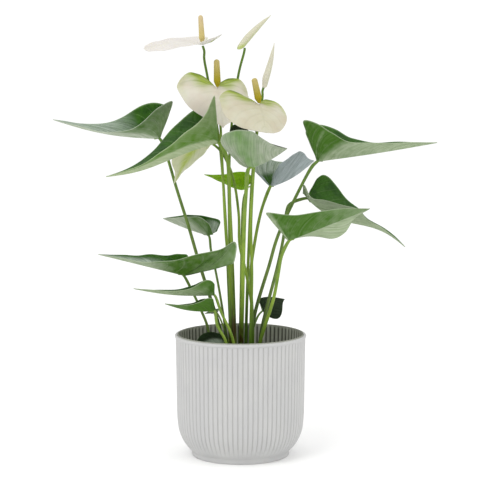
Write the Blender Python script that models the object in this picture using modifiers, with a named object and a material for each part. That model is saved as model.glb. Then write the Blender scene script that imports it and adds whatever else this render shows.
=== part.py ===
# Potted anthurium with white blooms in a ribbed pot, at its real size.
# Metres, +Z up. The pot's axis is the Z axis and its foot stands on z = 0.
# The side of the plant that faces the viewer looks towards -Y.
import math

import bmesh
import bpy
import numpy as np
from mathutils import Vector

MM = 0.001
OBJECT_NAME = "potted_anthurium"

# Pot: moulded plastic with upright ribs all round, inside and out.
RIB_COUNT = 80
RIB_DEPTH = 0.7
RIB_FADE_LOW = 7.0
RIB_FADE_HIGH = 24.0
POT_OUTSIDE = [(69.4, 130.0), (70.0, 129.0), (70.0, 127.4), (69.2, 126.6), (68.1, 55.0), (66.8, 32.0),
               (63.5, 20.5), (58.5, 12.0), (53.6, 6.4), (52.4, 5.4), (52.0, 0.0)]
POT_INSIDE = [(0.0, 4.0), (47.0, 4.0), (61.0, 20.0), (66.4, 126.8), (67.4, 130.0)]
RIB_TOP = 126.9

# Grow pot: a plain thin pot that stands on the floor of the outer one.
GROW_POT_FLOOR = 4.3
GROW_POT_HEIGHT = 102.0
GROW_POT_FOOT_RADIUS = 41.0
GROW_POT_RIM_RADIUS = 59.0
GROW_POT_WALL = 1.2
GROW_POT_LIP = 3.0

# Soil: fills the grow pot to just under its rim.
SOIL_TOP = 100.0
SOIL_BUMP = 1.6
SOIL_RINGS = 4
SOIL_STEPS = 32
HOLE_DEPTH = 24.0
SEAT_GAP = 0.3

# Blades and stems.
BLADE_THICKNESS = 0.8
KEEL = 0.9
STEM_STEPS = 2
STEM_SIDES_STEP = 1
LOBE_SHARE = 0.35
NOTCH_SHARE = 0.3
SEED = 7
WELD = 0.00002

# Half of a spathe laid flat, from the end of its basal lobe round to the drip tip.
# First value: along the midrib, in lobe lengths behind the junction and in blade lengths before it.
# Second value: away from the midrib, in half widths.
SPATHE_OUTLINE = [(-0.62, 0.16), (-1.00, 0.42), (-0.92, 0.78), (-0.10, 1.02), (0.26, 0.99), (0.52, 0.80),
                  (0.76, 0.46), (0.91, 0.12), (1.00, 0.0)]
BUD_OUTLINE = [(-0.70, 0.30), (-1.00, 0.60), (-0.60, 0.90), (0.05, 1.00), (0.25, 0.96), (0.50, 0.78),
               (0.75, 0.45), (0.90, 0.18), (1.00, 0.0)]

# Each leaf: base is where petiole and blade meet, tip is the drip tip, both in the part's frame, and
# bow and sway bend the midrib. width is the half width seen from above and lobe is how far the basal
# lobes reach back. near and far give the margins of the half towards the viewer and of the other one,
# from the inner end of the lobe to the tip: distance along the midrib, and height above it.
# foot is where the petiole enters the soil, route is its way up, thick its radius at foot and blade.
LEAVES = {
    "leaf_01": dict(base=(-87, 25, 337), tip=(-201, 40, 356), width=24, lobe=16, bow=-5, sway=0,
                    near=[(-10, 24), (-16, 40), (-3, 34), (12, 19), (32, 7), (60, 3), (90, 2)],
                    far=[(-6, 22), (-7, 32), (8, 36), (24, 33), (46, 18), (70, 7), (95, 3)],
                    foot=(-20, 12), thick=(2.1, 1.5),
                    route=[(-21, 12, 129), (-42, 14, 197), (-55, 15, 242), (-68, 20, 283), (-79, 24, 320)]),
    "leaf_02": dict(base=(-24, -15, 335), tip=(-138, -50, 302), width=28, lobe=10, bow=-3, sway=2,
                    near=[(-3, 26), (-1, 51), (12, 35), (26, 27), (42, 21), (62, 14), (89, 7)],
                    far=[(-2, 23), (-7, 34), (-1, 37), (11, 35), (30, 27), (48, 18), (75, 8)],
                    foot=(-12, -7), thick=(2.3, 1.9),
                    route=[(-10, -7, 124), (-11, -8, 221), (-12, -11, 290), (-14, -13, 318)]),
    "leaf_03": dict(base=(9, -68, 312), tip=(48, -50, 331), width=24, lobe=29, bow=-2, sway=0,
                    near=[(-12, 9), (-27, 33), (-24, 44), (-12, 45), (-1, 42), (8, 35), (23, 21)],
                    far=[(1, 4), (-2, 24), (1, 40), (9, 43), (20, 36), (31, 19)],
                    foot=(2, -8), thick=(2.3, 1.9),
                    route=[(1, -10, 122), (2, -22, 168), (4, -46, 251), (6, -59, 289)]),
    "leaf_04": dict(base=(32, 30, 285), tip=(81, 95, 308), width=24, lobe=8, bow=-4, sway=0,
                    near=[(-2, 14), (-4, 26), (8, 32), (24, 34), (44, 28), (66, 12)],
                    far=[(0, 8), (1, 21), (12, 28), (28, 24), (46, 15), (66, 6)],
                    foot=(12, 17), thick=(2.0, 1.6),
                    route=[(13, 17, 135), (11, 22, 190), (15, 26, 224), (22, 29, 258)]),
    "leaf_05": dict(base=(82, 10, 314), tip=(210, 30, 332), width=24, lobe=14, bow=-1, sway=0,
                    near=[(-8, 26), (-13, 45), (0, 40), (13, 30), (28, 19), (54, 13), (88, 8)],
                    far=[(-6, 22), (-6, 32), (10, 36), (28, 28), (44, 17), (64, 10), (94, 6)],
                    foot=(11, 5), thick=(2.1, 1.6),
                    route=[(11, 5, 119), (16, 6, 154), (30, 8, 201), (42, 8, 240), (70, 10, 298)]),
    "leaf_06": dict(base=(72, 30, 272), tip=(176, 20, 221), width=22, lobe=13, bow=-1, sway=-5,
                    near=[(-8, 1), (-13, 9), (1, 6), (15, 13), (38, 18), (56, 17), (70, 8), (88, 3)],
                    far=[(-4, 7), (-7, 20), (-5, 28), (4, 30), (18, 28), (39, 22), (56, 15), (73, 5)],
                    foot=(20, 1), thick=(2.1, 1.5),
                    route=[(23, 2, 137), (39, 14, 199), (46, 20, 232), (49, 24, 258), (54, 27, 267)]),
    "leaf_07": dict(base=(51, -30, 234), tip=(136, -10, 265), width=12, lobe=15, bow=0, sway=0,
                    near=[(-9, 22), (-15, 37), (2, 29), (18, 23), (45, 17), (68, 10)],
                    far=[(-4, 4), (2, 2), (12, -2), (27, -7), (46, -17), (60, -16), (74, -5)],
                    foot=(18, -13), thick=(2.1, 1.6),
                    route=[(21, -13, 125), (34, -20, 168), (39, -25, 194), (43, -28, 217)]),
    "leaf_08": dict(base=(6, 40, 284), tip=(-39, 40, 297), width=10, lobe=8, bow=-1, sway=0,
                    near=[(-4, 0), (-6, 2), (5, -4), (17, -3), (32, -1)],
                    far=[(-4, 5), (-6, 10), (4, 14), (14, 12), (30, 5)],
                    foot=(-1, 20), thick=(1.5, 1.1),
                    route=[(0, 22, 163), (2, 36, 260)]),
    "leaf_09": dict(base=(-35, 35, 232), tip=(-84, 45, 249), width=14, lobe=18, bow=-1, sway=0,
                    near=[(-6, 3), (0, 14), (10, 18), (23, 15), (34, 10), (43, 5)],
                    far=[(-8, 6), (-7, 16), (1, 17), (14, 16), (28, 13), (39, 8)],
                    foot=(-12, 21), thick=(1.5, 1.2),
                    route=[(-21, 24, 162), (-28, 30, 199), (-32, 34, 216)]),
    "leaf_10": dict(base=(-60, -32, 198), tip=(-147, -45, 221), width=26, lobe=47, bow=0, sway=0,
                    near=[(-41, 20), (-47, 27), (-43, 47), (-27, 36), (1, 23), (23, 12), (49, 5)],
                    far=[(-2, 12), (-4, 18), (5, 18), (15, 14), (36, 10), (57, 5)],
                    foot=(-33, -5), thick=(1.6, 1.3),
                    route=[(-34, -6, 134), (-42, -12, 158), (-51, -24, 180)]),
    "leaf_11": dict(base=(-28, -46, 179), tip=(-110, -58, 187), width=10, lobe=3, bow=-3, sway=0,
                    near=[(-1, 8), (1, 14), (8, 17), (18, 12), (32, 6), (60, 3)],
                    far=[(-1, 6), (1, 10), (9, 13), (20, 9), (34, 5), (60, 2)],
                    foot=(-6, -38), thick=(1.6, 1.3),
                    route=[(-8, -39, 131), (-20, -43, 160)]),
    "leaf_12": dict(base=(-28, -44, 162), tip=(-78, -56, 171), width=10, lobe=3, bow=-3, sway=0,
                    near=[(0, 8), (3, 14), (10, 14), (20, 9), (36, 4)],
                    far=[(0, 6), (3, 10), (10, 11), (20, 7), (36, 3)],
                    foot=(-13, -42), thick=(1.7, 1.4),
                    route=[(-15, -43, 128), (-24, -43, 146)]),
    "leaf_13": dict(base=(24, 38, 150), tip=(48, 44, 161), width=6, lobe=3, bow=0, sway=0,
                    near=[(-1, -5), (5, -12), (11, -15), (17, -12), (23, -3)],
                    far=[(0, 5), (2, 11), (10, 10), (18, 6)],
                    foot=(8, 27), thick=(1.2, 1.0),
                    route=[(12, 30, 125), (18, 35, 142)]),
    "leaf_14": dict(base=(-27, 40, 147), tip=(-39, 44, 145), width=6, lobe=4, bow=0, sway=0,
                    near=[(-3, 1), (-4, 2), (2, 1), (8, 0)],
                    far=[(-3, 2), (-4, 3), (2, 3), (8, 2)],
                    foot=(-8, 31), thick=(1.0, 0.8),
                    route=[(-18, 36, 130)]),
    "leaf_15": dict(base=(-19, -28, 123), tip=(-48, -32, 119), width=7, lobe=4, bow=1, sway=0,
                    near=[(-2, 1), (-3, 2), (6, -3), (14, -3), (22, -1)],
                    far=[(-2, 4), (-1, 9), (8, 13), (18, 13), (26, 7)],
                    foot=(-12, -24), thick=(1.2, 1.0),
                    route=[(-13, -25, 110)]),
}

# Each bloom: a spathe, the spadix that stands on it, and its stalk. fold is how steeply both halves
# of the spathe rise at the base and fold_tip near the tip, curl rolls them inwards, roll turns the
# whole spathe about its midrib and lift raises the lobes. skew is the share that the near half is
# wider and the far half narrower. spadix_to is where the spadix ends and spadix_radius its half width.
BLOOMS = {
    "bloom_1": dict(base=(-40, 10, 436), tip=(-101, -6, 432), width=26, lobe=17, bow=3, sway=0,
                    near=[(-9, 4), (-17, 12), (-5, 8), (10, 1), (26, -3), (42, -5), (58, -4)],
                    far=[(-6, 5), (-9, 9), (2, 8), (20, 6), (36, 5), (50, 4), (60, 3)],
                    foot=(-10, 12), arrive=10, seat=0.5,
                    route=[(-12, 12, 160), (-16, 14, 250), (-22, 16, 330), (-34, 12, 398), (-38, 10, 420)],
                    spadix_to=(-42, 10, 467), spadix_radius=3.2),
    "bloom_2": dict(base=(-25, 0, 391), tip=(-18, -16, 350), width=43, skew=0.04, lobe=13,
                    outline="spathe", fold=-4, fold_tip=0, roll=-12, bow=2, sway=1, curl=-6, lift=14,
                    foot=(-5, -16), arrive=-50, seat=0.4,
                    route=[(-8, -15, 160), (-15, -15, 235), (-18, -9, 290), (-20, -7, 330),
                           (-21, -4, 352), (-24, 1, 376)],
                    spadix_to=(-25, 2, 421), spadix_radius=3.8),
    "bloom_3": dict(base=(19, -55, 376), tip=(26, -86, 349), width=33, skew=0.22, lobe=17,
                    outline="full", fold=2, fold_tip=0, roll=-12, bow=4, sway=1, curl=-6, lift=8,
                    foot=(10, -20), arrive=-30, seat=0.6,
                    route=[(11, -20, 150), (12, -24, 197), (11, -28, 250), (14, -34, 310),
                           (17, -47, 353)],
                    spadix_to=(14, -55, 403), spadix_radius=3.8),
    "bloom_4": dict(base=(5, 20, 435), tip=(32, 24, 467), width=9, lobe=8, outline="bud", neck=0.1,
                    fold=10, fold_tip=10, roll=0, bow=0, sway=0, curl=140, lift=0,
                    foot=(-5, 2), arrive=60, seat=-0.3,
                    route=[(-9, 3, 220), (-12, 12, 293), (-10, 22, 345), (-3, 27, 400)],
                    spadix_to=(14, 21.4, 450.5), spadix_radius=1.4),
    "bloom_5": dict(base=(27.5, 16, 392), tip=(35.5, 16, 438), width=9, lobe=2, outline="bud", neck=0.3,
                    fold=10, fold_tip=10, roll=0, bow=-2, sway=0, curl=140, lift=0,
                    foot=(5, 10), arrive=90, seat=0.4,
                    route=[(8, 14, 200), (12, 24, 290), (18, 24, 345), (23, 16, 379)],
                    spadix_to=(27.5, 16, 410), spadix_radius=1.4),
    "bloom_6": dict(base=(-40, 20, 338), tip=(-70, 8, 290), width=12, lobe=9, bow=2, sway=0,
                    near=[(-5, 5), (-8, 17), (4, 22), (20, 21), (38, 17), (48, 6)],
                    far=[(-5, -4), (-8, -12), (2, -16), (10, -16), (26, -12), (42, -5)],
                    foot=(12, -7), arrive=0, seat=0.8,
                    route=[(12, -8, 158), (6, -2, 195), (-1, 8, 225), (-2, 16, 257), (-8, 21, 295),
                           (-20, 20, 322)],
                    spadix_to=(-47, 27, 355), spadix_radius=2.6),
}
STALK_THICK = (1.8, 1.3)
SPADIX_SIDES = 8
SPADIX_ROWS = 10
SPADIX_FOOT = 0.3
FLORET_RELIEF = 0.04
NECK_LENGTH = 8.0
SPATHE_COLUMNS = 10
SPATHE_ROWS = 3
FULL_OUTLINE = [(-0.62, 0.16), (-1.00, 0.42), (-0.92, 0.78), (-0.10, 1.04), (0.30, 1.08), (0.60, 1.00),
                (0.84, 0.72), (0.96, 0.38), (1.00, 0.0)]
OUTLINES = {"spathe": SPATHE_OUTLINE, "full": FULL_OUTLINE, "bud": BUD_OUTLINE}


def unit(vector):
    return vector / np.linalg.norm(vector)


def smooth_path(points, steps):
    """Points along a smooth curve that passes through every given point."""
    points = np.array(points, float)
    before = 2 * points[0] - points[1]
    after = 2 * points[-1] - points[-2]
    chain = np.vstack([before, points, after])
    path = []
    for i in range(1, len(chain) - 2):
        p0, p1, p2, p3 = chain[i - 1:i + 3]
        for t in np.arange(steps) / steps:
            path.append(0.5 * (2 * p1 + (p2 - p0) * t + (2 * p0 - 5 * p1 + 4 * p2 - p3) * t ** 2
                               + (3 * p1 - p0 - 3 * p2 + p3) * t ** 3))
    path.append(points[-1])
    return np.array(path)


def blade_frame(plan):
    """Chord length, direction along the chord, up and far directions of a blade."""
    base = np.array(plan["base"], float)
    chord = np.array(plan["tip"], float) - base
    along = unit(chord)
    up = unit(np.array([0, 0, 1.0]) - along * along[2])
    far = np.cross(along, up)
    if far[1] < 0:
        far = -far
    return np.linalg.norm(chord), along, up, far


def midrib_frame(plan, x):
    """Point on the midrib, its direction and the upward normal there, at distances x along the blade."""
    length, along, up, far = blade_frame(plan)
    s = np.clip(x / length, 0, 1)
    bend = plan["bow"] * np.sin(math.pi * s) + plan["sway"] * np.sin(2 * math.pi * s)
    slope = (plan["bow"] * math.pi * np.cos(math.pi * s)
             + plan["sway"] * 2 * math.pi * np.cos(2 * math.pi * s)) / length
    tangent = along + slope[..., None] * up
    tangent = tangent / np.linalg.norm(tangent, axis=-1, keepdims=True)
    normal = up - tangent * (tangent @ up)[..., None]
    normal = normal / np.linalg.norm(normal, axis=-1, keepdims=True)
    middle = np.array(plan["base"], float) + (s * length)[..., None] * along + bend[..., None] * up
    return middle + np.minimum(x, 0)[..., None] * tangent, tangent, normal


def margin(plan, side):
    """Points round the edge of half a leaf: along the midrib, above it, and out from it.
    The first point, beside the notch between the lobes, lies close to the midrib's line."""
    length = blade_frame(plan)[0]
    points = []
    for x, rise in plan["near" if side < 0 else "far"]:
        s = max(0, x / length)
        back = max(0, -x / plan["lobe"])
        out = plan["width"] * (1 - s) ** 1.2 * (1 + 1.5 * s) * (1 - 0.5 * back)
        points.append((x, rise, out if points else out * NOTCH_SHARE))
    return smooth_path(points + [(length, 0, 0)], 6)


def leaf_grid(plan, columns, rows, side):
    """Points of one half of a leaf between its midrib and the margin given in the plan."""
    far = blade_frame(plan)[3]
    edge = margin(plan, side)
    share, foot = shares(plan, columns)
    pick = share ** 0.9 * (len(edge) - 1)
    x_edge, rise, out_edge = (np.interp(pick, np.arange(len(edge)), edge[:, k]) for k in (0, 1, 2))
    across = np.linspace(0, 1, rows + 1)
    x = foot[:, None] + (x_edge - foot)[:, None] * across
    middle, tangent, normal = midrib_frame(plan, x)
    out = out_edge[:, None] * across
    return middle + side * out[..., None] * far + (rise[:, None] * across ** 1.2)[..., None] * normal


def spathe_grid(plan, columns, rows, side):
    """Points of one half of a spathe: a flat outline, folded at the midrib and rolled across it."""
    length, along, up, far = blade_frame(plan)
    width = plan["width"] * (1 - side * plan.get("skew", 0))
    edge = smooth_path([(x * (plan["lobe"] if x < 0 else length), y * width, 0)
                        for x, y in OUTLINES[plan["outline"]]], 6)
    share, foot = shares(plan, columns)
    pick = share * (len(edge) - 1)
    x_edge, y_edge = (np.interp(pick, np.arange(len(edge)), edge[:, k]) for k in (0, 1))
    across = np.linspace(0, 1, rows + 1)
    x = foot[:, None] + (x_edge - foot)[:, None] * across
    y = y_edge[:, None] * across
    middle, tangent, normal = midrib_frame(plan, x)
    s = np.clip(x / length, 0, 1)
    back = np.clip(-x / plan["lobe"], 0, 1)
    fold = plan["fold"] + (plan["fold_tip"] - plan["fold"]) * s + plan["lift"] * back
    fold = np.radians(fold + side * plan["roll"])
    neck = 1 - plan.get("neck", 0) * np.clip(1 - x / NECK_LENGTH, 0, 1)
    taper = 1.03 - 0.9 * s ** 1.8 if plan["outline"] == "bud" else 1 - 0.75 * s
    reach = width * taper * neck
    y = y * neck
    curl = math.radians(plan["curl"] + 0.01)
    turned = fold + curl * y / reach
    out = reach / curl * (np.sin(turned) - np.sin(fold))
    rise = reach / curl * (np.cos(fold) - np.cos(turned))
    return middle + side * out[..., None] * far + rise[..., None] * normal


def shares(plan, columns):
    """Even shares of the margin, and where the vein to each of them leaves the midrib."""
    share = np.linspace(0, 1, columns + 1)
    free = np.clip((share - LOBE_SHARE) / (1 - LOBE_SHARE), 0, 1)
    return share, blade_frame(plan)[0] * free ** 1.15


def blade_sheet(plan, columns, rows):
    """Middle surface of a blade: vertices, triangles facing its top, and how near the midrib each is."""
    length = blade_frame(plan)[0]
    foot = shares(plan, columns)[1]
    points, faces, ribs, seen = [], [], [], {}
    for side in (-1, 1):
        grid = (leaf_grid if "near" in plan else spathe_grid)(plan, columns, rows, side)
        number = np.zeros((columns + 1, rows + 1), int)
        for i in range(columns + 1):
            for j in range(rows + 1):
                key = (i, j, side)
                if j == 0 or i == columns:
                    key = round(float(foot[i]), 3)
                if key not in seen:
                    seen[key] = len(points)
                    points.append(grid[i, j])
                    ribs.append((1 - foot[i] / length) if j == 0 else 0)
                number[i, j] = seen[key]
        for i in range(columns):
            for j in range(rows):
                a, b, c, d = number[i, j], number[i + 1, j], number[i + 1, j + 1], number[i, j + 1]
                for face in ((a, b, c), (a, c, d)):
                    if len(set(face)) == 3:
                        faces.append(face if side > 0 else face[::-1])
    return np.array(points), faces, np.array(ribs)


def sheet_normals(plan, points, faces):
    """Normals at the points of a sheet, on the side of its top. The first is at the junction."""
    corners = points[np.array(faces)]
    turned = np.cross(corners[:, 1] - corners[:, 0], corners[:, 2] - corners[:, 0])
    normals = np.zeros_like(points)
    for k in range(3):
        np.add.at(normals, np.array(faces)[:, k], turned)
    normals /= np.linalg.norm(normals, axis=1, keepdims=True)
    return normals if normals[0] @ blade_frame(plan)[2] > 0 else -normals


def build_blade(name, plan, columns, rows, keel):
    """A closed blade: the sheet moved out both ways along its normals, joined round the margin."""
    points, faces, ribs = blade_sheet(plan, columns, rows)
    normals = sheet_normals(plan, points, faces)
    half = BLADE_THICKNESS / 2
    top = points + normals * half
    under = points - normals * (half + keel * ribs)[:, None]
    count = len(points)
    solid = list(faces) + [tuple(v + count for v in face[::-1]) for face in faces]
    used = {}
    for face in faces:
        for a, b in zip(face, face[1:] + face[:1]):
            used[(a, b)] = True
    for a, b in used:
        if (b, a) not in used:
            solid += [(b, a, a + count), (b, a + count, b + count)]
    return mesh_object(name, np.vstack([top, under]) * MM, solid)


def mesh_object(name, points, faces):
    mesh = bpy.data.meshes.new(name)
    mesh.from_pydata([tuple(p) for p in points], [], faces)
    weld(mesh, 0)
    made = bpy.data.objects.new(name, mesh)
    parts.objects.link(made)
    return made


def weld(mesh, distance):
    """Merges doubled points and turns the faces so that they point outwards."""
    work = bmesh.new()
    work.from_mesh(mesh)
    if distance:
        bmesh.ops.remove_doubles(work, verts=work.verts, dist=distance)
    if work.calc_volume(signed=True) < 0:
        bmesh.ops.reverse_faces(work, faces=work.faces)
    work.to_mesh(mesh)
    work.free()


def evaluated_mesh(source, name):
    """Turns a curve or a modified object into a plain welded mesh object and removes the source."""
    bpy.context.view_layer.update()
    ready = source.evaluated_get(bpy.context.evaluated_depsgraph_get())
    mesh = bpy.data.meshes.new_from_object(ready)
    weld(mesh, WELD)
    made = bpy.data.objects.new(name, mesh)
    made.matrix_world = source.matrix_world.copy()
    parts.objects.link(made)
    bpy.data.objects.remove(source)
    mesh.name = name
    return made


def turned_mesh(name, profile, steps):
    """A profile in (radius, height) turned round the Z axis."""
    mesh = bpy.data.meshes.new(name + "_profile")
    edges = [(i, i + 1) for i in range(len(profile) - 1)]
    mesh.from_pydata([(r * MM, 0, z * MM) for r, z in profile], edges, [])
    source = bpy.data.objects.new(name + "_profile", mesh)
    parts.objects.link(source)
    screw = source.modifiers.new("Screw", "SCREW")
    screw.steps = screw.render_steps = steps
    screw.use_merge_vertices = True
    screw.merge_threshold = 0.00001
    return evaluated_mesh(source, name)


def tube(name, path, radii):
    """A round stem along a path, its radius given at every point."""
    curve = bpy.data.curves.new(name + "_path", "CURVE")
    curve.dimensions = "3D"
    curve.bevel_depth = radii[0] * MM
    curve.bevel_resolution = STEM_SIDES_STEP
    curve.use_fill_caps = True
    spline = curve.splines.new("POLY")
    spline.points.add(len(path) - 1)
    for point, place, radius in zip(spline.points, path, radii):
        point.co = (place[0] * MM, place[1] * MM, place[2] * MM, 1)
        point.radius = radius / radii[0]
    stem = bpy.data.objects.new(name + "_path", curve)
    parts.objects.link(stem)
    return evaluated_mesh(stem, name)


def stem_path(plan, last_points):
    """Straight up out of its hole in the soil, then smoothly through the route."""
    x, y = plan["foot"]
    upper = smooth_path([(x, y, SOIL_TOP + 2)] + list(plan["route"]) + list(last_points), STEM_STEPS)
    return np.vstack([[(x, y, SOIL_TOP - HOLE_DEPTH + SEAT_GAP)], upper])


def join(first, second):
    union = first.modifiers.new("Join", "BOOLEAN")
    union.operation = "UNION"
    union.solver = "MANIFOLD"
    union.object = second
    bpy.context.view_layer.update()
    mesh = bpy.data.meshes.new_from_object(first.evaluated_get(bpy.context.evaluated_depsgraph_get()))
    first.modifiers.remove(union)
    first.data = mesh
    mesh.name = first.name
    bpy.data.objects.remove(second)


def build_leaf(name, plan):
    base, along, normal = midrib_frame(plan, np.array(0.0))
    neck = [base - normal * 1.2 - along * 1.5, base - normal * 1.0 + along * 5.0]
    path = stem_path(plan, neck)
    thick = np.linspace(plan["thick"][0], plan["thick"][1], len(path))
    thick[-3:] = (plan["thick"][1], plan["thick"][1] * 0.85, 1.0)
    large = plan["width"] > 11
    columns, rows = (10, 3) if large else (8, 2)
    leaf = build_blade(name, plan, columns, rows, KEEL if large else KEEL / 3)
    join(leaf, tube(name + "_petiole", path, thick))
    paint(leaf, "Leaf green", (0.045, 0.16, 0.03), 0.35)


def build_bloom(name, plan):
    """Stalk, spathe and spadix, each seated against the next with the same small gap."""
    base, along, normal = midrib_frame(plan, np.array(0.0))
    points, faces, ribs = blade_sheet(plan, SPATHE_COLUMNS, SPATHE_ROWS)
    normal = sheet_normals(plan, points, faces)[0]
    gap = BLADE_THICKNESS / 2 + plan["seat"]
    middle = 0.0
    if plan.get("outline") == "bud":
        middle = plan["width"] * (1 - plan["neck"]) / math.radians(plan["curl"])
    turn = math.radians(plan["arrive"])
    arrive = normal * math.cos(turn) + along * math.sin(turn)
    if plan["arrive"] == 90:
        under = base + normal * middle
    else:
        under = base - arrive * (gap + STALK_THICK[1] * abs(math.sin(turn))) / math.cos(turn)
    path = stem_path(plan, [under - arrive * 6, under])
    stalk = tube(name + "_stalk", path, np.linspace(STALK_THICK[0], STALK_THICK[1], len(path)))
    paint(stalk, "Stalk green", (0.20, 0.36, 0.05), 0.4)
    spathe = build_blade(name + "_spathe", plan, SPATHE_COLUMNS, SPATHE_ROWS, 0)
    paint(spathe, "Spathe cream", (0.80, 0.78, 0.66), 0.35)
    start = base + normal * middle + along * 2 * SEAT_GAP
    if not middle:
        lean = math.acos(np.clip(unit(np.array(plan["spadix_to"], float) - base) @ normal, -1, 1))
        start = base + normal * (gap + SPADIX_FOOT * plan["spadix_radius"] * math.sin(lean))
    build_spadix(name + "_spadix", plan, start)


def build_spadix(name, plan, start):
    """A tapering rounded column covered with florets, raised as a net of small bumps."""
    along = np.array(plan["spadix_to"], float) - start
    height = np.linalg.norm(along)
    radius = plan["spadix_radius"]
    profile = []
    for i in range(SPADIX_ROWS + 1):
        s = 1 - i / SPADIX_ROWS
        body = radius * (SPADIX_FOOT + (1 - SPADIX_FOOT) * min(1, s / 0.2)) * (1 - 0.25 * s)
        profile.append((body * math.sqrt(max(0, 1 - max(0, (s - 0.9) / 0.1) ** 2)), s * height))
    profile.append((0, 0))
    spadix = turned_mesh(name, profile, SPADIX_SIDES)
    for vertex in spadix.data.vertices:
        x, y, z = vertex.co
        column = round(math.atan2(y, x) / math.tau * SPADIX_SIDES)
        row = round(z / MM / height * SPADIX_ROWS)
        swell = 1 + FLORET_RELIEF * (1 if (column + row) % 2 else -1)
        vertex.co.x *= swell
        vertex.co.y *= swell
    spadix.location = tuple(start * MM)
    spadix.rotation_euler = Vector(along).to_track_quat("Z", "Y").to_euler()
    paint(spadix, "Spadix yellow", (0.62, 0.50, 0.16), 0.6)


def build_pot():
    """Pot turned from its profile, with every second column of the ribbed walls set back."""
    profile = POT_INSIDE + POT_OUTSIDE + [(0.0, 0.0)]
    pot = turned_mesh("pot", profile, 2 * RIB_COUNT)
    inner = len(POT_INSIDE)
    outside = {round(r, 1) for r, z in POT_OUTSIDE if z < RIB_TOP}
    for vertex in pot.data.vertices:
        x, y, z = (c / MM for c in vertex.co)
        radius = math.hypot(x, y)
        if radius < 40 or z > RIB_TOP:
            continue
        column = round(math.atan2(y, x) / math.pi * RIB_COUNT)
        fade = min(1, max(0, (z - RIB_FADE_LOW) / (RIB_FADE_HIGH - RIB_FADE_LOW)))
        is_outside = round(radius, 1) in outside
        if column % 2 == 0 or fade == 0:
            continue
        depth = RIB_DEPTH * fade * (-1 if is_outside else 1)
        vertex.co.x *= (radius + depth) / radius
        vertex.co.y *= (radius + depth) / radius
    smooth(pot, 30)
    paint(pot, "Pot plastic", (0.62, 0.61, 0.58), 0.5)


def build_grow_pot():
    floor = GROW_POT_FLOOR
    top = floor + GROW_POT_HEIGHT
    wall = GROW_POT_WALL
    foot = GROW_POT_FOOT_RADIUS
    rim = GROW_POT_RIM_RADIUS
    profile = [(0, floor + wall), (foot - wall, floor + wall), (rim - wall - GROW_POT_LIP, top), (rim, top),
               (rim, top - 4), (rim - GROW_POT_LIP, top - 5), (foot, floor), (0, floor)]
    grow = turned_mesh("grow_pot", profile, SOIL_STEPS)
    smooth(grow, 30)
    paint(grow, "Black plastic", (0.02, 0.02, 0.02), 0.6)


def build_soil():
    floor = GROW_POT_FLOOR + GROW_POT_WALL + SEAT_GAP
    top_of_pot = GROW_POT_FLOOR + GROW_POT_HEIGHT
    foot = GROW_POT_FOOT_RADIUS - GROW_POT_WALL
    rim = GROW_POT_RIM_RADIUS - GROW_POT_WALL - GROW_POT_LIP
    full = (SOIL_TOP - floor) / (top_of_pot - floor)
    edge = foot + (rim - foot) * full - 0.6
    rings = [(edge * i / SOIL_RINGS, SOIL_TOP) for i in range(SOIL_RINGS + 1)]
    soil = turned_mesh("soil", rings + [(foot - 0.6, floor), (0, floor)], SOIL_STEPS)
    draw = np.random.default_rng(SEED)
    for vertex in soil.data.vertices:
        if vertex.co.z > (SOIL_TOP - 1) * MM and math.hypot(vertex.co.x, vertex.co.y) < (edge - 1) * MM:
            vertex.co.z += draw.uniform(-SOIL_BUMP, 0) * MM
    holes = bpy.data.collections.new("holes")
    bpy.context.scene.collection.children.link(holes)
    plans = [(plan, plan["thick"][0]) for plan in LEAVES.values()]
    plans += [(plan, STALK_THICK[0]) for plan in BLOOMS.values()]
    for plan, radius in plans:
        x, y = plan["foot"]
        bpy.ops.mesh.primitive_cylinder_add(
            vertices=8, radius=(radius + SEAT_GAP) / math.cos(math.pi / 8) * MM, depth=2 * HOLE_DEPTH * MM,
            location=(x * MM, y * MM, SOIL_TOP * MM), rotation=(0, 0, math.pi / 8))
        hole = bpy.context.object
        hole.name = "hole"
        for owner in list(hole.users_collection):
            owner.objects.unlink(hole)
        holes.objects.link(hole)
    cut = soil.modifiers.new("Holes", "BOOLEAN")
    cut.operation = "DIFFERENCE"
    cut.operand_type = "COLLECTION"
    cut.collection = holes
    bpy.context.view_layer.update()
    mesh = bpy.data.meshes.new_from_object(soil.evaluated_get(bpy.context.evaluated_depsgraph_get()))
    soil.modifiers.remove(cut)
    soil.data = mesh
    for hole in list(holes.objects):
        bpy.data.objects.remove(hole)
    bpy.data.collections.remove(holes)
    paint(soil, "Potting soil", (0.05, 0.032, 0.02), 0.95)


def smooth(thing, angle):
    thing.data.shade_smooth()
    thing.data.set_sharp_from_angle(angle=math.radians(angle))


def paint(thing, name, colour, roughness):
    material = bpy.data.materials.get(name) or bpy.data.materials.new(name)
    material.use_nodes = True
    shader = material.node_tree.nodes["Principled BSDF"]
    shader.inputs["Base Color"].default_value = (*colour, 1)
    shader.inputs["Roughness"].default_value = roughness
    shader.inputs["Metallic"].default_value = 0
    thing.data.materials.clear()
    thing.data.materials.append(material)


for old in list(bpy.data.objects):
    bpy.data.objects.remove(old)
parts = bpy.data.collections.new(OBJECT_NAME)
bpy.context.scene.collection.children.link(parts)
build_pot()
build_grow_pot()
build_soil()
for leaf_name, leaf_plan in LEAVES.items():
    build_leaf(leaf_name, leaf_plan)
for bloom_name, bloom_plan in BLOOMS.items():
    build_bloom(bloom_name, bloom_plan)
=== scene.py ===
import math

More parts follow.
